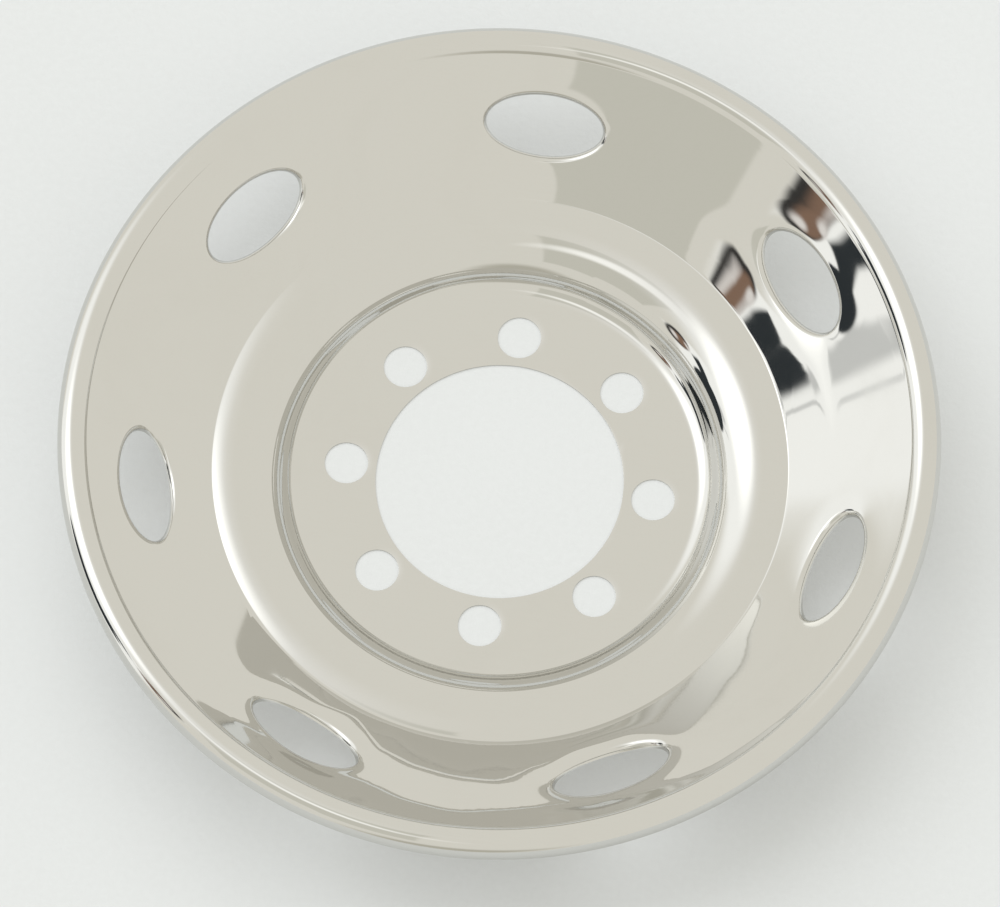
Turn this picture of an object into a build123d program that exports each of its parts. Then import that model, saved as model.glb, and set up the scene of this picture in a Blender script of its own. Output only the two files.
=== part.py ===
from build123d import *
import os
from math import atan2, cos, hypot, radians, sin

# A wheel liner: one round sheet of polished stainless steel, pressed to a dish that covers the
# face of a truck wheel. The hub flange lies flat on z = 0, the dish opens upward and Z is its axis.
# Sizes are in millimetres and degrees. Heights run from the back of the hub flange up to the front
# of the sheet, and radii of bends are those of the front of the sheet.

sheet = 0.8

# Hub flange, with the lug holes and the land of metal between them and the hub hole
flange_diameter = 209.2
lug_count = 8
lug_circle_diameter = 165.1
lug_hole_diameter = 23.2
lug_hole_land = 4.65

# Step up from the flange to a rounded shoulder, which falls again to a crease
step_angle = 62.2
step_root_radius = 11.0
shoulder_radius = 30.0
crease_diameter = 308.0
crease_height = 20.9
crease_radius = 1.6

# Rolled lip, a bead that rises from a groove at the top of the wall and turns down over the rim
outer_diameter = 469.6
lip_height = 63.9
bead_radius = 8.5
bead_flank_angle = 58.0
bead_skirt = 2.0
groove_radius = 2.5

# Oval hand holes in the wall, with a land of metal below them to the crease and one above them to
# the bead, and their edges rolled to the back
hand_hole_count = 7
hand_hole_length = 63.0
hand_hole_foot_land = 24.3
hand_hole_head_land = 22.7
hand_hole_roll_radius = 3.0
hand_hole_skirt = 0.7

# The first hand hole and one lug hole share this direction from the axis
first_hole_angle = 90.0

hub_hole_diameter = lug_circle_diameter - lug_hole_diameter - 2 * lug_hole_land

# Corners of the section, each a radius and a height on the front of the sheet
crease = (crease_diameter / 2, crease_height)
bead_flank = radians(bead_flank_angle)
bead_root = (
    outer_diameter / 2 - bead_radius * (1 + sin(bead_flank)),
    lip_height + bead_radius * cos(bead_flank),
)
wall_slope = atan2(bead_root[1] - crease[1], bead_root[0] - crease[0])
wall_length = hypot(bead_root[0] - crease[0], bead_root[1] - crease[1])


def behind_wall(point, depth):
    """The place that lies square behind a point of the wall's front, in the section."""
    return (point[0] + depth * sin(wall_slope), point[1] - depth * cos(wall_slope))


def depth_in_wall(point):
    """How far behind the wall's front a point of the part lies."""
    outward = hypot(point.X, point.Y) - crease[0]
    return outward * sin(wall_slope) - (point.Z - crease[1]) * cos(wall_slope)


def rings_at_depth(edges, depth):
    """The closed edges that lie at a given depth behind the wall's front."""
    rings = edges.filter_by(lambda edge: edge.is_closed)
    return rings.filter_by(lambda ring: abs(depth_in_wall(ring @ 0) - depth) < sheet / 4)


# Planes of the hand holes, square to the wall's normal and as far behind it as the punch reaches
hand_hole_width = wall_length - hand_hole_foot_land - hand_hole_head_land
hand_hole_rise = hand_hole_foot_land + hand_hole_width / 2
hand_hole_radius = crease[0] + hand_hole_rise * cos(wall_slope)
hand_hole_height = crease[1] + hand_hole_rise * sin(wall_slope)
hand_hole_collar = hand_hole_roll_radius + hand_hole_skirt
punch_reach = hand_hole_width / 2
hand_hole_planes = []
for number in range(hand_hole_count):
    turn = radians(first_hole_angle + number * 360 / hand_hole_count)
    tangent_plane = Plane(
        origin=(hand_hole_radius * cos(turn), hand_hole_radius * sin(turn), hand_hole_height),
        x_dir=(-sin(turn), cos(turn), 0),
        z_dir=(-sin(wall_slope) * cos(turn), -sin(wall_slope) * sin(turn), cos(wall_slope)),
    )
    hand_hole_planes.append(tangent_plane.offset(-punch_reach))

# Blanks of the collars behind the hand holes, which start inside the sheet
with BuildPart() as collar_blanks:
    with BuildSketch(Plane.XZ) as collar_band:
        with BuildLine():
            Polyline(
                behind_wall(crease, sheet / 2),
                behind_wall(bead_root, sheet / 2),
                behind_wall(bead_root, hand_hole_collar),
                behind_wall(crease, hand_hole_collar),
                close=True,
            )
        make_face()
    revolve(axis=Axis.Z)
    with BuildSketch(*hand_hole_planes) as collar_outline:
        Ellipse(hand_hole_length / 2 + sheet, hand_hole_width / 2 + sheet)
    extrude(amount=2 * punch_reach, mode=Mode.INTERSECT)

# The liner: the pressed dish, its holes and the rolled edges of the hand holes
with BuildPart() as wheel_liner:
    with BuildSketch(Plane.XZ) as section:
        with BuildLine() as front:
            flange = Line((hub_hole_diameter / 2, sheet), (flange_diameter / 2, sheet))
            step_root = JernArc(flange @ 1, flange % 1, step_root_radius, step_angle)
            shoulder = JernArc(step_root @ 1, step_root % 1, shoulder_radius, -step_angle)
            TangentArc(shoulder @ 1, crease, tangent=shoulder % 1)
            Line(crease, bead_root)
            bead_start = (cos(bead_flank), sin(bead_flank))
            bead = JernArc(bead_root, bead_start, bead_radius, -(bead_flank_angle + 90))
            Line(bead @ 1, (outer_diameter / 2, lip_height - bead_skirt))
            fillet(front.vertices().sort_by_distance(crease)[0], crease_radius)
            fillet(front.vertices().sort_by_distance(bead_root)[0], groove_radius)
            offset(amount=sheet, side=Side.RIGHT)
        make_face()
    revolve(axis=Axis.Z)

    with BuildSketch(Plane.XY) as lug_holes:
        with PolarLocations(lug_circle_diameter / 2, lug_count, start_angle=first_hole_angle):
            Circle(lug_hole_diameter / 2)
    extrude(amount=sheet, mode=Mode.SUBTRACT)

    add(collar_blanks.part)
    back_rings = rings_at_depth(wheel_liner.edges(Select.LAST), sheet)
    fillet(back_rings, hand_hole_roll_radius - sheet)
    with BuildSketch(*hand_hole_planes) as hand_holes:
        Ellipse(hand_hole_length / 2, hand_hole_width / 2)
    extrude(amount=2 * punch_reach, mode=Mode.SUBTRACT)
    front_rings = rings_at_depth(wheel_liner.edges(Select.LAST), 0)
    fillet(front_rings, hand_hole_roll_radius)

os.makedirs("parts", exist_ok=True)
wheel_liner.part.label = "wheel_liner"
export_step(wheel_liner.part, "parts/wheel_liner.step")
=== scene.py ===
"""A polished stainless wheel liner that lies on a pale floor under soft studio light.

Lengths in the classes are millimetres and angles are degrees. Meshes are made in metres, in the frame of the
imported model: Z is the axis of the dish and z = 0 the back of its hub flange.
"""

import logging
import math
from collections.abc import Sequence
from dataclasses import dataclass, field
from enum import Enum, IntEnum
from typing import Any

import bpy
import numpy as np
from mathutils import Matrix, Vector


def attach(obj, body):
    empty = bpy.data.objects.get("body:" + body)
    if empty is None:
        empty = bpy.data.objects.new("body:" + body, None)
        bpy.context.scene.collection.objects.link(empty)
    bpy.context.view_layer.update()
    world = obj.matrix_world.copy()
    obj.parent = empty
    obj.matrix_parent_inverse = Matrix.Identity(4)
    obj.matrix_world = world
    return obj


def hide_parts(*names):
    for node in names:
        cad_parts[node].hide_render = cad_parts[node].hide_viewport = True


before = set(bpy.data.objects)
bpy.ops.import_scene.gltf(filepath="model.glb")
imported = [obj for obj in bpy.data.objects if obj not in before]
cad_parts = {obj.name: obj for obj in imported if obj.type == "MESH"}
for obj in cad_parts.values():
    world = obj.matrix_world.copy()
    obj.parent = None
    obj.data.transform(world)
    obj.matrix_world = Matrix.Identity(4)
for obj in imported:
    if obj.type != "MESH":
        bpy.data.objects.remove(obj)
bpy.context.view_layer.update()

Socket = bpy.types.NodeSocket
Colour = tuple[float, float, float]

log = logging.getLogger("wheel_liner")

METRES = 0.001
BODY = "root"
LINER_NODE = "wheel_liner"

# Columns of points round the axis, a multiple of the number of lug holes and of hand holes
ROUND_STEPS = 224
# Direction of the first lug hole and of the first hand hole
FIRST_ANGLE = 90.0
# How far the picture is turned round the axis of the dish
PICTURE_TURN = 7.909
QUARTER_TURN = math.pi / 2
FULL_TURN = 2 * math.pi


class Side(IntEnum):
    """The faces of the sheet, in the order of the piece's material slots."""

    FRONT = 0
    BACK = 1
    EDGE = 2


class Graph:
    """Adds nodes to a node tree and links them."""

    # The Mix node names its number, vector and colour sockets alike, so the colours go by number
    FIRST_COLOUR, SECOND_COLOUR, MIXED_COLOUR = 6, 7, 2

    def __init__(self, tree: bpy.types.NodeTree) -> None:
        """Keeps the tree that the nodes go to."""
        self.tree = tree

    def add(self, kind: str, inputs: dict[str | int, Any] | None = None, **settings: Any) -> bpy.types.Node:
        """Adds one node.

        Args:
            kind: Blender's name for the node.
            inputs: values or output sockets for the node's inputs, by name or number.
            settings: properties of the node.

        Returns:
            The new node.
        """
        node = self.tree.nodes.new(kind)
        for name, value in settings.items():
            setattr(node, name, value)
        self.feed(node, inputs or {})
        return node

    def feed(self, node: bpy.types.Node, inputs: dict[str | int, Any]) -> None:
        """Links or sets inputs of a node.

        Args:
            node: the node.
            inputs: values or output sockets, by the input's name or number.
        """
        for key, value in inputs.items():
            if isinstance(value, Socket):
                self.tree.links.new(value, node.inputs[key])
            else:
                node.inputs[key].default_value = value

    def math(self, operation: str, first: Any, second: Any = 0.0, clamp: bool = False) -> Socket:
        """Adds a Math node.

        Args:
            operation: Blender's name for the operation.
            first: a number or an output socket.
            second: a number or an output socket.
            clamp: keeps the result between 0 and 1.

        Returns:
            The result.
        """
        node = self.add("ShaderNodeMath", {0: first, 1: second}, operation=operation, use_clamp=clamp)
        return node.outputs[0]

    def times(self, first: Any, second: Any) -> Socket:
        """The product of two numbers."""
        return self.math("MULTIPLY", first, second)

    def ramp(self, value: Any, start: float, end: float, low: float = 0.0, high: float = 1.0) -> Socket:
        """Adds a smooth ramp from one level to another.

        Args:
            value: the number that moves along the ramp.
            start: where the ramp leaves the low level.
            end: where it reaches the high level.
            low: the level before the ramp.
            high: the level after it.

        Returns:
            The level.
        """
        inputs = {"Value": value, "From Min": start, "From Max": end, "To Min": low, "To Max": high}
        node = self.add("ShaderNodeMapRange", inputs, interpolation_type="SMOOTHSTEP")
        return node.outputs["Result"]

    def blend(self, share: Any, first: Any, second: Any) -> Socket:
        """Adds a mix of two colours.

        Args:
            share: how much of the second colour shows.
            first: a colour or an output socket.
            second: a colour or an output socket.

        Returns:
            The mixed colour.
        """
        inputs = {"Factor": share, self.FIRST_COLOUR: first, self.SECOND_COLOUR: second}
        return self.add("ShaderNodeMix", inputs, data_type="RGBA").outputs[self.MIXED_COLOUR]


def opaque(colour: Sequence[float]) -> tuple[float, float, float, float]:
    """The colour with full opacity."""
    return (colour[0], colour[1], colour[2], 1.0)


class SteelEffects:
    """The effects that the finishes of the sheet share, each a shader node group."""

    STREAK_RANGE = (0.3, 0.7)
    SMEAR_FINENESS = 9.0
    MARK_FADE = 0.22

    def __init__(self) -> None:
        """Builds each group once."""
        self.grain = self.rolled_grain()
        self.marks = self.hand_marks()

    def new_group(self, name: str, inputs: dict[str, float], outputs: Sequence[str]) -> bpy.types.NodeTree:
        """Makes an empty node group with number sockets.

        Args:
            name: the group's name.
            inputs: the input sockets and their values.
            outputs: the output sockets.

        Returns:
            The group.
        """
        group = bpy.data.node_groups.new(name, "ShaderNodeTree")
        for label, value in inputs.items():
            socket = group.interface.new_socket(name=label, in_out="INPUT", socket_type="NodeSocketFloat")
            socket.default_value = value
        for label in outputs:
            group.interface.new_socket(name=label, in_out="OUTPUT", socket_type="NodeSocketFloat")
        return group

    def rolled_grain(self) -> bpy.types.NodeTree:
        """Fine streaks along the way in which the sheet was rolled.

        Returns:
            A group with the inputs Fineness and Stretch and the output Streaks.
        """
        group = self.new_group("rolled_grain", {"Fineness": 900.0, "Stretch": 0.02}, ["Streaks"])
        graph = Graph(group)
        given = graph.add("NodeGroupInput")
        place = graph.add("ShaderNodeTexCoord").outputs["Object"]
        squeeze = graph.add("ShaderNodeCombineXYZ", {"X": given.outputs["Stretch"], "Y": 1.0, "Z": 1.0})
        drawn = graph.add("ShaderNodeVectorMath", {0: place, 1: squeeze.outputs[0]}, operation="MULTIPLY")
        noise = graph.add("ShaderNodeTexNoise", {
            "Vector": drawn.outputs[0],
            "Scale": given.outputs["Fineness"],
            "Detail": 4.0,
            "Roughness": 0.65,
        })
        graph.add("NodeGroupOutput", {"Streaks": graph.ramp(noise.outputs["Fac"], *self.STREAK_RANGE)})
        return group

    def hand_marks(self) -> bpy.types.NodeTree:
        """Faint smears where the sheet was wiped and handled.

        Returns:
            A group with the inputs Size and Spread and the output Marks.
        """
        group = self.new_group("hand_marks", {"Size": 14.0, "Spread": 0.5}, ["Marks"])
        graph = Graph(group)
        given = graph.add("NodeGroupInput")
        place = graph.add("ShaderNodeTexCoord").outputs["Object"]
        patches = graph.add("ShaderNodeTexNoise", {
            "Vector": place,
            "Scale": given.outputs["Size"],
            "Detail": 5.0,
            "Roughness": 0.6,
            "Distortion": 0.8,
        })
        fineness = graph.times(given.outputs["Size"], self.SMEAR_FINENESS)
        smears = graph.add("ShaderNodeTexNoise", {"Vector": place, "Scale": fineness, "Detail": 3.0})
        above = graph.math("SUBTRACT", patches.outputs["Fac"], given.outputs["Spread"])
        broad = graph.ramp(above, 0.0, self.MARK_FADE)
        graph.add("NodeGroupOutput", {"Marks": graph.times(broad, smears.outputs["Fac"])})
        return group


@dataclass(frozen=True)
class SteelFinish:
    """How one side of the stainless sheet is finished."""

    name: str
    colour: Colour
    worn_colour: Colour
    gloss: float
    dull: float
    grain_fineness: float
    grain_stretch: float
    grain_depth: float
    grain_share: float
    mark_size: float
    mark_spread: float
    mark_share: float = 0.8

    def material(self, effects: SteelEffects) -> bpy.types.Material:
        """Makes the material.

        Args:
            effects: the shared node groups.

        Returns:
            The material.
        """
        made = bpy.data.materials.new(self.name)
        made.use_nodes = True
        graph = Graph(made.node_tree)
        grain = graph.add(
            "ShaderNodeGroup",
            {"Fineness": self.grain_fineness, "Stretch": self.grain_stretch},
            node_tree=effects.grain,
        )
        marks = graph.add(
            "ShaderNodeGroup", {"Size": self.mark_size, "Spread": self.mark_spread}, node_tree=effects.marks
        )
        streaks = graph.times(grain.outputs["Streaks"], self.grain_share)
        smears = graph.times(marks.outputs["Marks"], self.mark_share)
        worn = graph.math("ADD", streaks, smears, clamp=True)
        tint = graph.blend(worn, opaque(self.colour), opaque(self.worn_colour))
        dullness = graph.ramp(worn, 0.0, 1.0, self.gloss, self.dull)
        bump = graph.add(
            "ShaderNodeBump",
            {"Height": grain.outputs["Streaks"], "Strength": 1.0, "Distance": self.grain_depth * METRES},
        )
        graph.feed(made.node_tree.nodes["Principled BSDF"], {
            "Base Color": tint,
            "Metallic": 1.0,
            "Roughness": dullness,
            "Normal": bump.outputs["Normal"],
        })
        return made


@dataclass(frozen=True)
class FloorFinish:
    """The pale matt board that the liner lies on."""

    name: str = "pale_board"
    colour: Colour = (0.45, 0.472, 0.492)
    shade: Colour = (0.435, 0.456, 0.475)
    glow: Colour = (0.25, 0.247, 0.23)
    tooth: float = 260.0
    tooth_depth: float = 0.35
    tooth_strength: float = 0.6
    cloud: float = 3.0
    mottle: tuple[float, float] = (0.1, 0.45)
    dullness: float = 0.85
    shine: float = 0.2

    def material(self) -> bpy.types.Material:
        """Makes the material.

        Returns:
            The material.
        """
        made = bpy.data.materials.new(self.name)
        made.use_nodes = True
        graph = Graph(made.node_tree)
        place = graph.add("ShaderNodeTexCoord").outputs["Object"]
        tooth = graph.add("ShaderNodeTexNoise", {"Vector": place, "Scale": self.tooth, "Detail": 6.0})
        cloud = graph.add("ShaderNodeTexNoise", {"Vector": place, "Scale": self.cloud, "Detail": 3.0})
        share = graph.times(tooth.outputs["Fac"], cloud.outputs["Fac"])
        tint = graph.blend(graph.ramp(share, *self.mottle), opaque(self.colour), opaque(self.shade))
        bump = graph.add("ShaderNodeBump", {
            "Height": tooth.outputs["Fac"],
            "Strength": self.tooth_strength,
            "Distance": self.tooth_depth * METRES,
        })
        path = graph.add("ShaderNodeLightPath")
        mirrored = graph.math("MAXIMUM", path.outputs["Is Glossy Ray"], path.outputs["Is Transmission Ray"])
        seen = graph.math("MAXIMUM", path.outputs["Is Camera Ray"], mirrored)
        graph.feed(made.node_tree.nodes["Principled BSDF"], {
            "Base Color": tint,
            "Roughness": self.dullness,
            "Specular IOR Level": self.shine,
            "Emission Color": opaque(self.glow),
            "Emission Strength": seen,
            "Normal": bump.outputs["Normal"],
        })
        return made


class SheetShell:
    """Grids of points on the front of a sheet and behind them, joined to one closed shell."""

    # Points of the front that round to the same multiple of this length become one
    WELD = 1e-4

    def __init__(self) -> None:
        """Starts with no grids."""
        self.front: list[np.ndarray] = []
        self.back: list[np.ndarray] = []
        self.quads: list[np.ndarray] = []
        self.count = 0

    def add_grid(self, front: np.ndarray, back: np.ndarray, ring: bool) -> None:
        """Adds a grid of quads.

        Args:
            front: rows of points on the front of the sheet.
            back: the points behind them.
            ring: whether each row closes on itself.
        """
        rows, columns = front.shape[:2]
        number = self.count + np.arange(rows * columns).reshape(rows, columns)
        if ring:
            number = np.concatenate([number, number[:, :1]], axis=1)
        quads = np.stack([number[:-1, :-1], number[:-1, 1:], number[1:, 1:], number[1:, :-1]], axis=-1)
        quads = quads.reshape(-1, 4)
        points = front.reshape(-1, 3)
        corner = points[quads - self.count]
        facing = np.cross(corner[:, 2] - corner[:, 0], corner[:, 3] - corner[:, 1])
        outward = (front - back).reshape(-1, 3)[quads[:, 0] - self.count]
        if np.sum(facing * outward) < 0:
            quads = quads[:, ::-1]
        self.front.append(points)
        self.back.append(back.reshape(-1, 3))
        self.quads.append(quads)
        self.count += rows * columns

    def mesh(self, name: str) -> bpy.types.Mesh:
        """Welds the grids, closes the sheet at its edges and makes the mesh.

        Args:
            name: the mesh's name.

        Returns:
            The mesh, with its material numbers and sharp edges set.
        """
        front, back = np.concatenate(self.front), np.concatenate(self.back)
        keys = np.round(front / self.WELD).astype(np.int64)
        _, first, welded = np.unique(keys, axis=0, return_index=True, return_inverse=True)
        front, back = front[first], back[first]
        quads = welded.reshape(-1)[np.concatenate(self.quads)]
        sides = np.stack([quads, np.roll(quads, -1, axis=1)], axis=-1).reshape(-1, 2)
        ends = np.sort(sides, axis=1)
        _, where, used = np.unique(ends, axis=0, return_inverse=True, return_counts=True)
        rim = sides[used[where.reshape(-1)] == 1]
        behind = len(front)
        strips = np.stack([rim[:, 1], rim[:, 0], rim[:, 0] + behind, rim[:, 1] + behind], axis=-1)
        faces = np.concatenate([quads, quads[:, ::-1] + behind, strips])
        made = bpy.data.meshes.new(name)
        made.from_pydata((np.concatenate([front, back]) * METRES).tolist(), [], faces.tolist())
        kinds = [Side.FRONT] * len(quads) + [Side.BACK] * len(quads) + [Side.EDGE] * len(strips)
        made.polygons.foreach_set("material_index", np.array(kinds, np.int32))
        made.polygons.foreach_set("use_smooth", np.ones(len(faces), bool))
        self.mark_cut_edges(made, rim, behind)
        made.validate()
        made.update()
        return made

    def mark_cut_edges(self, made: bpy.types.Mesh, rim: np.ndarray, behind: int) -> None:
        """Marks the two corners of each cut edge as sharp.

        Args:
            made: the mesh.
            rim: pairs of points along the cut edges of the front.
            behind: how much higher the number of the point behind is.
        """
        cut = {tuple(sorted(pair)) for pair in rim.tolist()}
        cut |= {(low + behind, high + behind) for low, high in cut}
        ends = np.zeros(len(made.edges) * 2, np.int32)
        made.edges.foreach_get("vertices", ends)
        sharp = [tuple(sorted(pair)) in cut for pair in ends.reshape(-1, 2).tolist()]
        attribute = made.attributes.new("sharp_edge", "BOOLEAN", "EDGE")
        attribute.data.foreach_set("value", sharp)


def arc(centre: Sequence[float], radius: float, start: float, end: float, steps: int) -> np.ndarray:
    """Points along an arc of the section, with their normals away from its centre.

    Args:
        centre: radius and height of the arc's centre.
        radius: the arc's radius.
        start: the first angle, in radians from outward.
        end: the last angle.
        steps: how many pieces the arc has.

    Returns:
        Rows of radius, height and the two parts of the normal.
    """
    turn = np.linspace(start, end, steps + 1)
    normal = np.stack([np.cos(turn), np.sin(turn)], axis=-1)
    return np.concatenate([np.asarray(centre) + radius * normal, normal], axis=-1)


def rings(line: np.ndarray, first_angle: float) -> np.ndarray:
    """Turns points of the section round the axis.

    Args:
        line: rows of radius and height.
        first_angle: the direction of the first column of points.

    Returns:
        A ring of points for each row.
    """
    turn = math.radians(first_angle) + np.arange(ROUND_STEPS) * FULL_TURN / ROUND_STEPS
    radius, height = line[:, :1], line[:, 1:]
    return np.stack([radius * np.cos(turn), radius * np.sin(turn), height + 0 * turn], axis=-1)


def rounded_edge(radius: float, steps: int) -> list[tuple[float, float, float]]:
    """The rows of a round from the wall of a hole to the face of the sheet.

    Args:
        radius: the round's radius.
        steps: how many rows it has.

    Returns:
        For each row, its distance from the hole, its depth below the face and its tilt.
    """
    return [
        (radius * (1 - math.sin(tilt)), radius * (1 - math.cos(tilt)), tilt)
        for tilt in np.linspace(QUARTER_TURN, 0, steps)
    ]


def smooth(share: np.ndarray) -> np.ndarray:
    """Eases shares between 0 and 1 and holds them at both ends."""
    held = np.clip(share, 0.0, 1.0)
    return held * held * (3 - 2 * held)


def flipped(run: np.ndarray) -> np.ndarray:
    """The same run with its normals turned round, for a bend that is hollow on the front."""
    return np.concatenate([run[:, :2], -run[:, 2:]], axis=-1)


@dataclass(frozen=True)
class DishSection:
    """The front of the sheet in a plane through the axis, as radius and height.

    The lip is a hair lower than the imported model's, so that the fine mesh of the bead stays inside its box.
    """

    sheet: float = 0.8
    hub_hole_radius: float = 66.3
    flange_radius: float = 104.6
    step_angle: float = 62.2
    step_root_radius: float = 11.0
    shoulder_radius: float = 30.0
    crease: tuple[float, float] = (154.0, 20.9)
    crease_radius: float = 1.6
    outer_radius: float = 234.8
    lip_height: float = 63.85
    bead_radius: float = 8.5
    bead_flank_angle: float = 58.0
    bead_skirt: float = 2.0
    groove_radius: float = 2.5
    root_steps: int = 20
    shoulder_steps: int = 18
    fall_steps: int = 12
    bend_steps: int = 7
    bead_steps: int = 20

    @property
    def bead_centre(self) -> np.ndarray:
        """The centre of the bead."""
        return np.array([self.outer_radius - self.bead_radius, self.lip_height])

    @property
    def bead_root(self) -> np.ndarray:
        """The corner where the wall's line meets the bead."""
        flank = math.radians(self.bead_flank_angle)
        return self.bead_centre + self.bead_radius * np.array([-math.sin(flank), math.cos(flank)])

    @property
    def slope(self) -> float:
        """The wall's angle above the floor, in radians."""
        rise = self.bead_root - np.array(self.crease)
        return math.atan2(rise[1], rise[0])

    @property
    def along(self) -> np.ndarray:
        """The direction up the wall."""
        return np.array([math.cos(self.slope), math.sin(self.slope)])

    @property
    def normal(self) -> np.ndarray:
        """The direction out of the wall's front."""
        return np.array([-math.sin(self.slope), math.cos(self.slope)])

    @property
    def crest(self) -> np.ndarray:
        """The highest point of the shoulder."""
        turn = math.radians(self.step_angle)
        reach = self.step_root_radius + self.shoulder_radius
        return np.array([
            self.flange_radius + reach * math.sin(turn),
            self.sheet + reach * (1 - math.cos(turn)),
        ])

    @property
    def fall_radius(self) -> float:
        """The radius of the arc that falls from the crest to the crease."""
        run, drop = self.crease[0] - self.crest[0], self.crest[1] - self.crease[1]
        return (run * run + drop * drop) / (2 * drop)

    def valley(
        self, corner: np.ndarray, hump: np.ndarray, hump_radius: float, radius: float, way: int
    ) -> np.ndarray:
        """The centre of a hollow bend between the wall and a round hump.

        Args:
            corner: where the wall's line meets the hump.
            hump: the hump's centre.
            hump_radius: the hump's radius.
            radius: the bend's radius.
            way: 1 where the wall leaves the hump, -1 where it comes to it.

        Returns:
            The centre of the bend.
        """
        start = np.asarray(corner) + radius * self.normal
        offset = start - hump
        half = offset @ self.along
        inside = half * half - offset @ offset + (hump_radius + radius) ** 2
        return start + (way * math.sqrt(inside) - half) * self.along

    def shoulder_run(self) -> np.ndarray:
        """The section from the flange over the shoulder to the foot of the wall.

        Returns:
            Rows of radius, height and normal.
        """
        turn = math.radians(self.step_angle)
        root_centre = (self.flange_radius, self.sheet + self.step_root_radius)
        root = arc(root_centre, self.step_root_radius, -QUARTER_TURN, turn - QUARTER_TURN, self.root_steps)
        top_centre = self.crest - np.array([0.0, self.shoulder_radius])
        top = arc(top_centre, self.shoulder_radius, QUARTER_TURN + turn, QUARTER_TURN, self.shoulder_steps)
        fall_centre = self.crest - np.array([0.0, self.fall_radius])
        bend = self.valley(np.array(self.crease), fall_centre, self.fall_radius, self.crease_radius, 1)
        toward = bend - fall_centre
        fall_end = math.atan2(toward[1], toward[0])
        fall = arc(fall_centre, self.fall_radius, QUARTER_TURN, fall_end, self.fall_steps)
        foot = arc(bend, self.crease_radius, fall_end - math.pi, self.slope - QUARTER_TURN, self.bend_steps)
        return np.concatenate([flipped(root), top[1:], fall[1:], flipped(foot)[1:]])

    def lip_run(self) -> np.ndarray:
        """The section from the head of the wall through the groove and over the bead.

        Returns:
            Rows of radius, height and normal.
        """
        bend = self.valley(self.bead_root, self.bead_centre, self.bead_radius, self.groove_radius, -1)
        toward = bend - self.bead_centre
        start = math.atan2(toward[1], toward[0])
        groove = arc(bend, self.groove_radius, self.slope - QUARTER_TURN, start - math.pi, self.bend_steps)
        bead = arc(self.bead_centre, self.bead_radius, start, 0.0, self.bead_steps)
        skirt = bead[-1:].copy()
        skirt[:, 1] -= self.bead_skirt
        return np.concatenate([flipped(groove), bead[1:], skirt])


def sector_edge(along: int, across: int) -> np.ndarray:
    """Points round the square from -1 to 1, anticlockwise from its lower left corner.

    Args:
        along: how many pieces the lower and the upper side have.
        across: how many pieces the other two sides have.

    Returns:
        Rows of x and y, without the last point, which would be the first again.
    """
    run = np.linspace(-1, 1, along + 1)[:-1]
    rise = np.linspace(-1, 1, across + 1)[:-1]
    low = np.stack([run, -np.ones_like(run)], axis=-1)
    right = np.stack([np.ones_like(rise), rise], axis=-1)
    return np.concatenate([low, right, -low, -right])


@dataclass
class HubFlange:
    """The flat flange with its hub hole and lug holes."""

    section: DishSection
    lug_count: int = 8
    lug_circle_radius: float = 82.55
    lug_hole_radius: float = 11.6
    first_angle: float = FIRST_ANGLE
    edge_round: float = 0.08
    edge_steps: int = 4
    ring_reach: float = 4.0
    ring_shares: tuple[float, ...] = (0.3, 0.65, 1.0)
    side_steps: int = 10

    def build(self, shell: SheetShell) -> None:
        """Adds the flange to the shell, a sector for each lug hole.

        Args:
            shell: the shell.
        """
        pitch = FULL_TURN / self.lug_count
        grids = [
            self.sector(math.radians(self.first_angle) + number * pitch, pitch / 2)
            for number in range(self.lug_count)
        ]
        for front in (*grids, self.hub_edge()):
            back = front.copy()
            back[..., 2] = 0.0
            shell.add_grid(front, back, ring=True)

    def hub_edge(self) -> np.ndarray:
        """The round of the flange's edge into the hub hole.

        Returns:
            Rings of points.
        """
        line = [
            (self.section.hub_hole_radius + reach, self.section.sheet - depth)
            for reach, depth, _ in reversed(rounded_edge(self.edge_round, self.edge_steps))
        ]
        return rings(np.array(line), self.first_angle)

    def sector(self, turn: float, half: float) -> np.ndarray:
        """Points of one sector, from the edge of its lug hole out to its sides.

        Args:
            turn: the direction of the lug hole.
            half: half the sector's angle.

        Returns:
            Rings of points.
        """
        edge = sector_edge(ROUND_STEPS // self.lug_count, self.side_steps)
        inner = self.section.hub_hole_radius + self.edge_round
        outer = self.section.flange_radius
        radius = (inner + outer) / 2 + edge[:, 1] * (outer - inner) / 2
        angle = turn - edge[:, 0] * half
        sides = np.stack([radius * np.cos(angle), radius * np.sin(angle)], axis=-1)
        centre = self.lug_circle_radius * np.array([math.cos(turn), math.sin(turn)])
        spoke = sides - centre
        spoke /= np.linalg.norm(spoke, axis=1)[:, None]
        rows = [
            (centre + (self.lug_hole_radius + reach) * spoke, self.section.sheet - depth)
            for reach, depth, _ in rounded_edge(self.edge_round, self.edge_steps)
        ]
        collar = centre + (self.lug_hole_radius + self.ring_reach) * spoke
        for share in (0.0, *self.ring_shares):
            rows.append(((1 - share) * collar + share * sides, self.section.sheet))
        return np.array([np.column_stack([flat, np.full(len(flat), height)]) for flat, height in rows])


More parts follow.
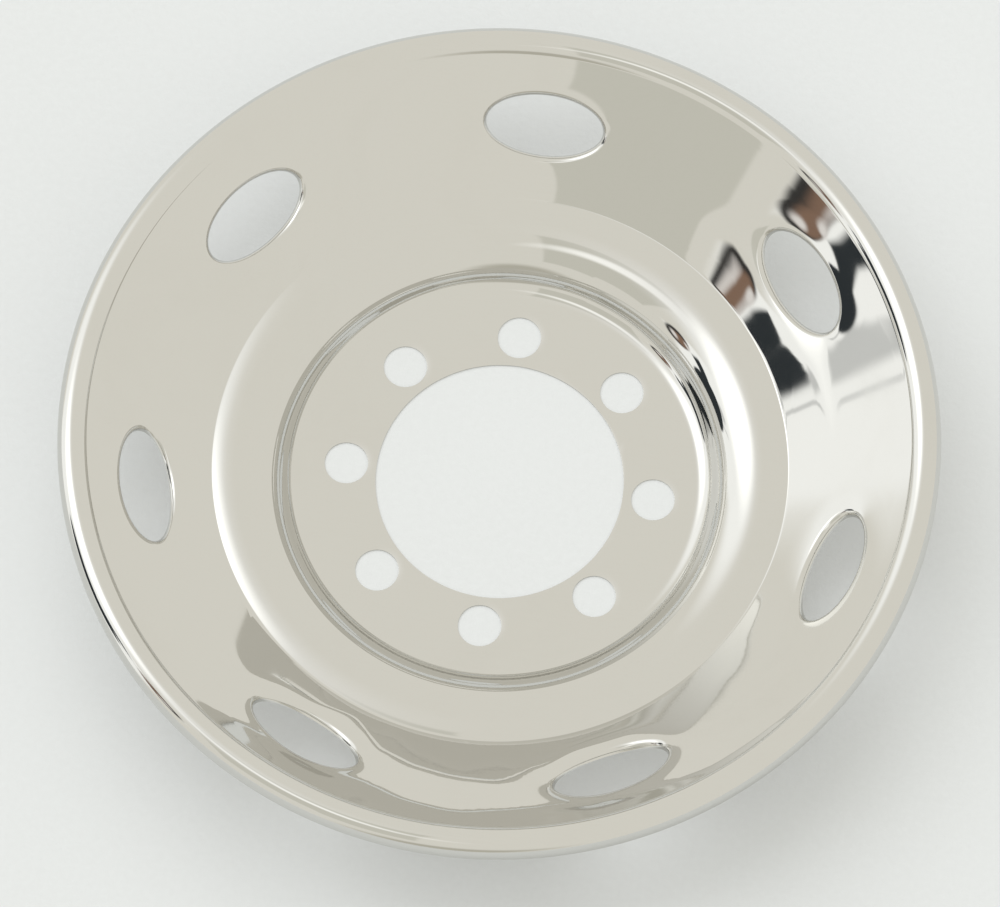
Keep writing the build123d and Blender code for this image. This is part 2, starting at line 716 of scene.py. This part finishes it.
@dataclass(frozen=True)
class SpringBack:
    """A side of the wall that sprang back after it was pressed, and isn't straight from its foot to its head.

    The wall leans by one angle below a band, by another in the band and by a third above it. The band is
    given as rows of a direction and the shares of the wall's length at which it starts and ends there.
    """

    middle: float
    level_reach: float
    fade_reach: tuple[float, float]
    leans: tuple[float, float, float]
    blend: float
    band: tuple[tuple[float, float, float], ...]

    def edges(self, direction: np.ndarray) -> list[np.ndarray]:
        """Where the band starts and ends.

        Args:
            direction: degrees from the X axis.

        Returns:
            The start and the end, as shares of the wall's length.
        """
        place, *edges = np.array(self.band).T
        after = np.clip(np.searchsorted(place, direction), 1, len(place) - 1)
        before = after - 1
        part = smooth((direction - place[before]) / (place[after] - place[before]))
        return [(1 - part) * edge[before] + part * edge[after] for edge in edges]

    def climb(self, share: np.ndarray, edge: np.ndarray) -> np.ndarray:
        """How high a lean of one radian that sets in at an edge has lifted the wall.

        Args:
            share: the place up the wall.
            edge: the place where the lean sets in.

        Returns:
            The height, as a share of the wall's length.
        """
        part = (share - edge) / self.blend + 0.5
        inside = np.clip(part, 0.0, 1.0)
        return self.blend * (inside ** 3 * (1 - inside / 2) + np.maximum(part - 1.0, 0.0))

    def lift(self, direction: np.ndarray, share: np.ndarray) -> np.ndarray:
        """How high the three leans have lifted the wall.

        Args:
            direction: degrees from the X axis.
            share: the place up the wall.

        Returns:
            The height, as a share of the wall's length.
        """
        below, between, above = (math.radians(lean) for lean in self.leans)
        start, end = self.edges(direction)
        bends = (between - below) * self.climb(share, start) + (above - between) * self.climb(share, end)
        return below * share + bends

    def stand(self, direction: np.ndarray, share: np.ndarray) -> np.ndarray:
        """How far the wall stands off a straight one.

        Args:
            direction: degrees from the X axis.
            share: the place up the wall.

        Returns:
            The height above the straight wall, as a share of its length.
        """
        aside = np.remainder(direction - self.middle + 180.0, 360.0) - 180.0
        reach = np.where(aside < 0, *self.fade_reach)
        left = smooth((reach - np.abs(aside)) / (reach - self.level_reach))
        drift = share * self.lift(direction, np.ones_like(share))
        return left * (self.lift(direction, share) - drift)


@dataclass
class DishWall:
    """The conical wall with its oval hand holes, whose edges are rolled to the back."""

    section: DishSection
    hole_count: int = 7
    hole_half_length: float = 31.5
    hole_half_width: float = 16.79
    hole_rise: float = 41.1
    roll_radius: float = 3.0
    collar_skirt: float = 0.7
    first_angle: float = FIRST_ANGLE
    dimple_depth: float = 0.9
    dimple_reach: float = 15.0
    side_steps: int = 36
    roll_steps: int = 10
    dimple_steps: int = 8
    land_steps: int = 8
    springs: tuple[SpringBack, ...] = (
        SpringBack(
            middle=270.0,
            level_reach=22.0,
            fade_reach=(55.0, 85.0),
            leans=(0.3, -3.8, 3.4),
            blend=0.08,
            band=(
                (219.0, 0.30, 0.95), (229.0, 0.41, 0.93), (238.0, 0.28, 0.80), (249.0, 0.11, 0.78),
                (257.0, 0.35, 0.71), (264.0, 0.42, 0.79), (271.0, 0.46, 0.83), (277.0, 0.48, 0.78),
                (284.0, 0.32, 0.76), (292.0, 0.20, 0.82), (300.0, 0.22, 0.86), (309.0, 0.47, 0.94),
                (321.0, 0.27, 0.96), (331.0, 0.10, 0.96),
            ),
        ),
        SpringBack(
            middle=30.0,
            level_reach=18.0,
            fade_reach=(30.0, 32.0),
            leans=(2.4, -3.0, 0.9),
            blend=0.12,
            band=((22.0, 0.33, 0.40), (30.0, 0.25, 0.50), (41.0, 0.24, 0.50), (47.0, 0.31, 0.52)),
        ),
    )
    centre: np.ndarray = field(init=False)
    foot: np.ndarray = field(init=False)
    head: np.ndarray = field(init=False)

    def __post_init__(self) -> None:
        """Works out where the wall starts, where it ends and where the middle of its holes is."""
        self.foot = self.section.shoulder_run()[-1, :2]
        self.head = self.section.lip_run()[0, :2]
        self.centre = np.array(self.section.crease) + self.hole_rise * self.section.along

    def build(self, shell: SheetShell) -> None:
        """Adds the wall to the shell, a sector for each hand hole.

        Args:
            shell: the shell.
        """
        pitch = FULL_TURN / self.hole_count
        for number in range(self.hole_count):
            front, back = self.sector(math.radians(self.first_angle) + number * pitch, pitch / 2)
            shell.add_grid(front, back, ring=True)

    def flex(self, azimuth: np.ndarray, rise: np.ndarray) -> np.ndarray:
        """How far the sheet stands off a straight wall.

        Args:
            azimuth: the direction from the axis, in radians.
            rise: the distance up the wall from the middle of the holes.

        Returns:
            The height above the straight wall, which is nothing at the foot and at the head.
        """
        low = (self.foot - self.centre) @ self.section.along
        length = np.linalg.norm(self.head - self.foot)
        share = np.clip((rise - low) / length, 0.0, 1.0)
        direction = np.remainder(np.degrees(azimuth), 360.0)
        return length * sum(spring.stand(direction, share) for spring in self.springs)

    def on_cone(self, turn: float, angle: np.ndarray, rise: np.ndarray) -> tuple[np.ndarray, np.ndarray]:
        """Points of the wall and their normals, in a hole's own frame.

        Args:
            turn: the hole's direction from the axis.
            angle: the angle from the hole's direction.
            rise: the distance up the wall from the hole's middle.

        Returns:
            The points and the normals, as outward, sideways and up.
        """
        slope = self.section.slope
        stand = self.flex(turn + angle, rise)
        radius = self.centre[0] + rise * math.cos(slope) - stand * math.sin(slope)
        height = self.centre[1] + rise * math.sin(slope) + stand * math.cos(slope)
        points = np.stack([radius * np.cos(angle), radius * np.sin(angle), height], axis=-1)
        tilt = -math.sin(slope)
        normals = np.stack(
            [tilt * np.cos(angle), tilt * np.sin(angle), np.full_like(angle, math.cos(slope))], axis=-1
        )
        return points, normals

    def lay(self, side: np.ndarray, rise: np.ndarray) -> tuple[np.ndarray, np.ndarray]:
        """Where a point of the hole's plane comes to lie on the wall.

        Args:
            side: distance along the hole's length.
            rise: distance across it, up the wall.

        Returns:
            The angle from the hole's direction, and the distance up the wall.
        """
        slope = self.section.slope
        reach = self.centre[0] + rise * math.cos(slope)
        root = np.sqrt(reach * reach + side * side * math.cos(2 * slope))
        lift = math.sin(slope) * side * side / (reach + root)
        angle = np.arctan2(side, reach - lift * math.sin(slope))
        height = rise * math.sin(slope) + lift * math.cos(slope)
        return angle, height / math.sin(slope)

    def rolled_rows(self) -> list[tuple[float, float, float]]:
        """The rows from the end of the collar over the roll to the end of the dimple.

        Returns:
            For each row, its distance from the oval, its depth and its tilt.
        """
        rows = [(0.0, self.roll_radius + self.collar_skirt, QUARTER_TURN)]
        rows += rounded_edge(self.roll_radius, self.roll_steps)
        for share in np.linspace(0, 1, self.dimple_steps + 1)[1:]:
            rows.append((self.roll_radius + self.dimple_reach * share, 0.0, 0.0))
        return rows

    def dimple(self, reach: float) -> float:
        """How far the wall sinks round a hole, at a distance from the oval."""
        left = max(0.0, 1 - reach / (self.roll_radius + self.dimple_reach))
        return self.dimple_depth * left ** 3

    def sector(self, turn: float, half: float) -> tuple[np.ndarray, np.ndarray]:
        """Points of one sector, from the end of the hole's collar out to its sides.

        Args:
            turn: the direction of the hand hole.
            half: half the sector's angle.

        Returns:
            Rings of points on the front, and behind them.
        """
        slope, sheet = self.section.slope, self.section.sheet
        edge = sector_edge(ROUND_STEPS // self.hole_count, self.side_steps)
        low = (self.foot - self.centre) @ self.section.along
        high = (self.head - self.centre) @ self.section.along
        side_angle = edge[:, 0] * half
        side_rise = (low + high) / 2 + edge[:, 1] * (high - low) / 2
        around = np.arctan2(edge[:, 1], edge[:, 0])
        halves = np.array([self.hole_half_length, self.hole_half_width])
        spoke = np.stack([np.cos(around), np.sin(around)], axis=-1)
        oval, away = halves * spoke, spoke / halves
        away /= np.linalg.norm(away, axis=1)[:, None]
        plane_normal = np.array([-math.sin(slope), 0.0, math.cos(slope)])
        plane_up = np.array([math.cos(slope), 0.0, math.sin(slope)])
        outward = away[:, :1] * np.array([0.0, 1.0, 0.0]) + away[:, 1:] * plane_up
        front, back = [], []
        for reach, depth, tilt in self.rolled_rows():
            flat = oval + reach * away
            angle, rise = self.lay(flat[:, 0], flat[:, 1])
            points, normals = self.on_cone(turn, angle, rise)
            points = points - (depth + self.dimple(reach)) * plane_normal
            front.append(points)
            back.append(points - sheet * (math.cos(tilt) * normals - math.sin(tilt) * outward))
        for share in np.linspace(0, 1, self.land_steps + 1)[1:]:
            points, normals = self.on_cone(
                turn, (1 - share) * angle + share * side_angle, (1 - share) * rise + share * side_rise
            )
            front.append(points)
            back.append(points - sheet * normals)
        spin = np.array([
            [math.cos(turn), math.sin(turn), 0.0],
            [-math.sin(turn), math.cos(turn), 0.0],
            [0.0, 0.0, 1.0],
        ])
        return np.array(front) @ spin, np.array(back) @ spin


@dataclass
class WheelLiner:
    """The whole liner: one pressed sheet with a polished front and a plain back."""

    section: DishSection = DishSection()
    first_angle: float = FIRST_ANGLE
    polished: SteelFinish = SteelFinish(
        name="polished_front",
        colour=(0.655, 0.65, 0.625),
        worn_colour=(0.635, 0.628, 0.60),
        gloss=0.035,
        dull=0.10,
        grain_fineness=1500.0,
        grain_stretch=0.03,
        grain_depth=0.0002,
        grain_share=0.25,
        mark_size=9.0,
        mark_spread=0.5,
    )
    plain: SteelFinish = SteelFinish(
        name="mill_back",
        colour=(0.80, 0.80, 0.79),
        worn_colour=(0.72, 0.72, 0.71),
        gloss=0.2,
        dull=0.4,
        grain_fineness=700.0,
        grain_stretch=0.015,
        grain_depth=0.004,
        grain_share=0.6,
        mark_size=12.0,
        mark_spread=0.46,
    )
    sheared: SteelFinish = SteelFinish(
        name="sheared_edge",
        colour=(0.58, 0.575, 0.56),
        worn_colour=(0.46, 0.455, 0.44),
        gloss=0.22,
        dull=0.5,
        grain_fineness=2500.0,
        grain_stretch=0.6,
        grain_depth=0.006,
        grain_share=0.5,
        mark_size=40.0,
        mark_spread=0.5,
    )

    def build(self) -> bpy.types.Object:
        """Builds the sheet and dresses it.

        Returns:
            The piece, in place.
        """
        shell = SheetShell()
        HubFlange(self.section).build(shell)
        self.revolve(self.section.shoulder_run(), shell)
        DishWall(self.section).build(shell)
        self.revolve(self.section.lip_run(), shell)
        piece = bpy.data.objects.new("wheel_liner_sheet", shell.mesh("wheel_liner_sheet"))
        bpy.context.scene.collection.objects.link(piece)
        self.dress(piece)
        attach(piece, BODY)
        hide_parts(LINER_NODE)
        return piece

    def revolve(self, run: np.ndarray, shell: SheetShell) -> None:
        """Turns a run of the section round the axis.

        Args:
            run: rows of radius, height and normal.
            shell: the shell that gets the strip.
        """
        line, normal = run[:, :2], run[:, 2:]
        behind = line - self.section.sheet * normal
        shell.add_grid(rings(line, self.first_angle), rings(behind, self.first_angle), ring=True)

    def dress(self, piece: bpy.types.Object) -> None:
        """Puts the three finishes on the sheet, in the order of Side.

        Args:
            piece: the sheet.
        """
        effects = SteelEffects()
        for finish in (self.polished, self.plain, self.sheared):
            piece.data.materials.append(finish.material(effects))


@dataclass
class Floor:
    """The pale floor under the liner."""

    radius: float = 6000.0
    rings: int = 12
    spokes: int = 96
    finish: FloorFinish = FloorFinish()

    def build(self) -> bpy.types.Object:
        """Builds a disc at the height of the flange's back.

        Returns:
            The floor.
        """
        turn = np.arange(self.spokes) * FULL_TURN / self.spokes
        points, faces = [(0.0, 0.0, 0.0)], []
        for ring in range(1, self.rings + 1):
            reach = self.radius * METRES * (ring / self.rings) ** 2
            points += [(reach * math.cos(a), reach * math.sin(a), 0.0) for a in turn]
        for spoke in range(self.spokes):
            after = (spoke + 1) % self.spokes
            faces.append((0, 1 + spoke, 1 + after))
            for ring in range(self.rings - 1):
                inner, outer = 1 + ring * self.spokes, 1 + (ring + 1) * self.spokes
                faces.append((inner + spoke, outer + spoke, outer + after, inner + after))
        made = bpy.data.meshes.new("floor")
        made.from_pydata(points, [], faces)
        made.materials.append(self.finish.material())
        floor = bpy.data.objects.new("floor", made)
        bpy.context.scene.collection.objects.link(floor)
        return floor


@dataclass
class PhotoCamera:
    """A camera with a long lens that looks down on the liner."""

    azimuth: float = PICTURE_TURN
    elevation: float = 69.769
    roll: float = -0.542
    distance: float = 10000.0
    frame_width: float = 532.5
    sensor: float = 36.0
    aim: tuple[float, float, float] = (0.0, 0.0, 35.0)
    shift_right: float = 0.35
    shift_up: float = 3.03
    clip_end: float = 100000.0

    def build(self) -> bpy.types.Object:
        """Makes the camera and hands it to the scene.

        Returns:
            The camera.
        """
        turn, rise, roll = (math.radians(a) for a in (self.azimuth, self.elevation, self.roll))
        toward = Vector((math.sin(turn) * math.cos(rise), -math.cos(turn) * math.cos(rise), math.sin(rise)))
        level = Vector((math.cos(turn), math.sin(turn), 0.0))
        upright = toward.cross(level)
        right = math.cos(roll) * level + math.sin(roll) * upright
        up = -math.sin(roll) * level + math.cos(roll) * upright
        place = Vector(self.aim) + self.shift_right * right + self.shift_up * up + self.distance * toward
        lens = bpy.data.cameras.new("camera")
        lens.sensor_width = self.sensor
        lens.lens = self.sensor * self.distance / self.frame_width
        lens.clip_end = self.clip_end * METRES
        camera = bpy.data.objects.new("camera", lens)
        pose = Matrix((right, up, toward)).transposed().to_4x4()
        pose.translation = place * METRES
        camera.matrix_world = pose
        bpy.context.scene.collection.objects.link(camera)
        bpy.context.scene.camera = camera
        return camera


@dataclass
class Daylight:
    """Broad light from the far side of the picture, which gives the liner its soft shadow on the floor."""

    heading: float = 120.0
    elevation: float = 50.0
    breadth: float = 60.0
    strength: float = 1.1

    def build(self) -> bpy.types.Object:
        """Makes the lamp, which the polished sheet doesn't mirror.

        Returns:
            The lamp.
        """
        lamp = bpy.data.lights.new("daylight", "SUN")
        lamp.angle = math.radians(self.breadth)
        lamp.energy = self.strength
        turn, rise = math.radians(self.heading), math.radians(self.elevation)
        toward = Vector((math.cos(turn) * math.cos(rise), math.sin(turn) * math.cos(rise), math.sin(rise)))
        light = bpy.data.objects.new("daylight", lamp)
        light.rotation_euler = toward.to_track_quat("Z", "Y").to_euler()
        light.visible_glossy = False
        bpy.context.scene.collection.objects.link(light)
        return light


class PatchShape(Enum):
    """How a patch of the room is bounded."""

    ROUND = "round"
    SQUARE = "square"


@dataclass(frozen=True)
class RoomPatch:
    """A lamp, a panel or a flag, on a map of the room that has the point overhead in its middle.

    The map counts degrees from overhead, to the right and to the far side of the picture.
    """

    name: str
    colour: Colour
    middle: tuple[float, float]
    reach: tuple[float, float]
    turn: float = 0.0
    softness: float = 0.4
    shape: PatchShape = PatchShape.ROUND

    def mask(self, graph: Graph, right: Socket, far: Socket) -> Socket:
        """Where the patch is.

        Args:
            graph: the world's nodes.
            right: degrees to the right.
            far: degrees to the far side.

        Returns:
            The mask.
        """
        cosine, sine = math.cos(math.radians(self.turn)), math.sin(math.radians(self.turn))
        across = graph.math("SUBTRACT", right, self.middle[0])
        along = graph.math("SUBTRACT", far, self.middle[1])
        first = graph.math("ADD", graph.times(across, cosine), graph.times(along, sine))
        second = graph.math("SUBTRACT", graph.times(along, cosine), graph.times(across, sine))
        first = graph.math("ABSOLUTE", graph.math("DIVIDE", first, self.reach[0]))
        second = graph.math("ABSOLUTE", graph.math("DIVIDE", second, self.reach[1]))
        if self.shape is PatchShape.SQUARE:
            away = graph.math("MAXIMUM", first, second)
        else:
            squares = graph.math("ADD", graph.times(first, first), graph.times(second, second))
            away = graph.math("SQRT", squares)
        return graph.ramp(away, 1 + self.softness, 1 - self.softness)


@dataclass
class StudioRoom:
    """The warm room round the liner, which the polished sheet mirrors.

    A tall white window is on the left, with a dark flag and a brown box in front of it, and panels stand on
    the near side. Later patches cover earlier ones.
    """

    TAN = (0.777, 0.765, 0.686)
    DARK = (0.038, 0.045, 0.05)
    GLINT = (1.0, 0.96, 0.93)

    wall: Colour = (0.95, 0.93, 0.855)
    picture_turn: float = PICTURE_TURN
    patches: tuple[RoomPatch, ...] = (
        RoomPatch("tan_panel", TAN, (-19.3, -28.0), (9.5, 26.0), -13.5, 0.06, PatchShape.SQUARE),
        RoomPatch("tan_side", TAN, (-28.5, -22.5), (10.5, 24.0), -33.0, 0.06, PatchShape.SQUARE),
        RoomPatch("low_shade", (0.62, 0.60, 0.52), (-14.0, -80.0), (26.0, 10.0), softness=0.5),
        RoomPatch("ceiling_light", (1.40, 1.40, 1.36), (-25.0, -9.5), (22.0, 6.0), -44.6, 0.5),
        RoomPatch("window_bloom", (1.15, 1.15, 1.13), (-34.0, 9.0), (20.0, 20.0), softness=0.8),
        RoomPatch("window", (1.32, 1.33, 1.31), (-46.0, 20.0), (27.0, 27.0), 0.0, 0.35),
        RoomPatch("window_side", (1.3, 1.31, 1.29), (-71.0, 4.5), (17.0, 31.5), 0.0, 0.12, PatchShape.SQUARE),
        RoomPatch("window_glare", (2.2, 2.2, 2.15), (-39.0, 13.0), (17.0, 12.0), softness=0.6),
        RoomPatch("grey_card", (0.80, 0.81, 0.80), (-67.4, 7.6), (1.9, 3.4), -7.0, 0.45, PatchShape.SQUARE),
        RoomPatch("card_fold", (0.85, 0.86, 0.85), (-69.6, 13.2), (0.5, 4.0), -50.0, 0.6, PatchShape.SQUARE),
        RoomPatch("flag", DARK, (-76.7, -1.1), (9.2, 14.5), 0.0, 0.07),
        RoomPatch("flag_arm", DARK, (-66.6, -8.8), (6.8, 3.2), -40.0, 0.2, PatchShape.SQUARE),
        RoomPatch("box_edge", (0.05, 0.048, 0.046), (-59.7, -22.9), (8.0, 6.2), 28.0, 0.18),
        RoomPatch("brown_box", (0.30, 0.19, 0.135), (-60.6, -21.6), (5.2, 4.4), 28.0, 0.35),
        RoomPatch("box_glint", GLINT, (-59.8, -24.9), (3.2, 1.8), 5.0, 0.6),
        RoomPatch("box_shine", GLINT, (-60.7, -17.7), (2.2, 1.2), -20.0, 0.6),
    )

    def build(self) -> bpy.types.World:
        """Makes the room as the scene's world.

        Returns:
            The world.
        """
        world = bpy.data.worlds.new("studio_room")
        world.use_nodes = True
        bpy.context.scene.world = world
        graph = Graph(world.node_tree)
        right, far = self.sky_map(graph)
        colour = opaque(self.wall)
        for patch in self.patches:
            colour = graph.blend(patch.mask(graph, right, far), colour, opaque(patch.colour))
        graph.feed(world.node_tree.nodes["Background"], {"Color": colour})
        return world

    def sky_map(self, graph: Graph) -> tuple[Socket, Socket]:
        """The direction of a ray, as degrees from overhead to the right and to the far side of the picture.

        Args:
            graph: the world's nodes.

        Returns:
            The two angles.
        """
        way = graph.add("ShaderNodeTexCoord").outputs["Generated"]
        turned = graph.add(
            "ShaderNodeVectorRotate",
            {"Vector": way, "Angle": -math.radians(self.picture_turn)},
            rotation_type="Z_AXIS",
        )
        parts = graph.add("ShaderNodeSeparateXYZ", {0: turned.outputs[0]})
        away = graph.times(graph.math("ARCCOSINE", parts.outputs["Z"]), 180 / math.pi)
        level = graph.add("ShaderNodeCombineXYZ", {"X": parts.outputs["X"], "Y": parts.outputs["Y"]})
        compass = graph.add("ShaderNodeVectorMath", {0: level.outputs[0]}, operation="NORMALIZE")
        heading = graph.add("ShaderNodeSeparateXYZ", {0: compass.outputs[0]})
        right = graph.times(heading.outputs["X"], away)
        far = graph.times(heading.outputs["Y"], away)
        return right, far


def main() -> None:
    """Builds the liner, the floor, the room, its daylight and the camera."""
    logging.basicConfig(level=logging.INFO, format="%(name)s: %(message)s")
    bpy.context.scene.view_settings.view_transform = "Standard"
    piece = WheelLiner().build()
    log.info("%s has %d faces", piece.name, len(piece.data.polygons))
    log.info("%s", Floor().build().name)
    log.info("%s", StudioRoom().build().name)
    log.info("%s", Daylight().build().name)
    log.info("%s", PhotoCamera().build().name)


if __name__ == "__main__":
    main()
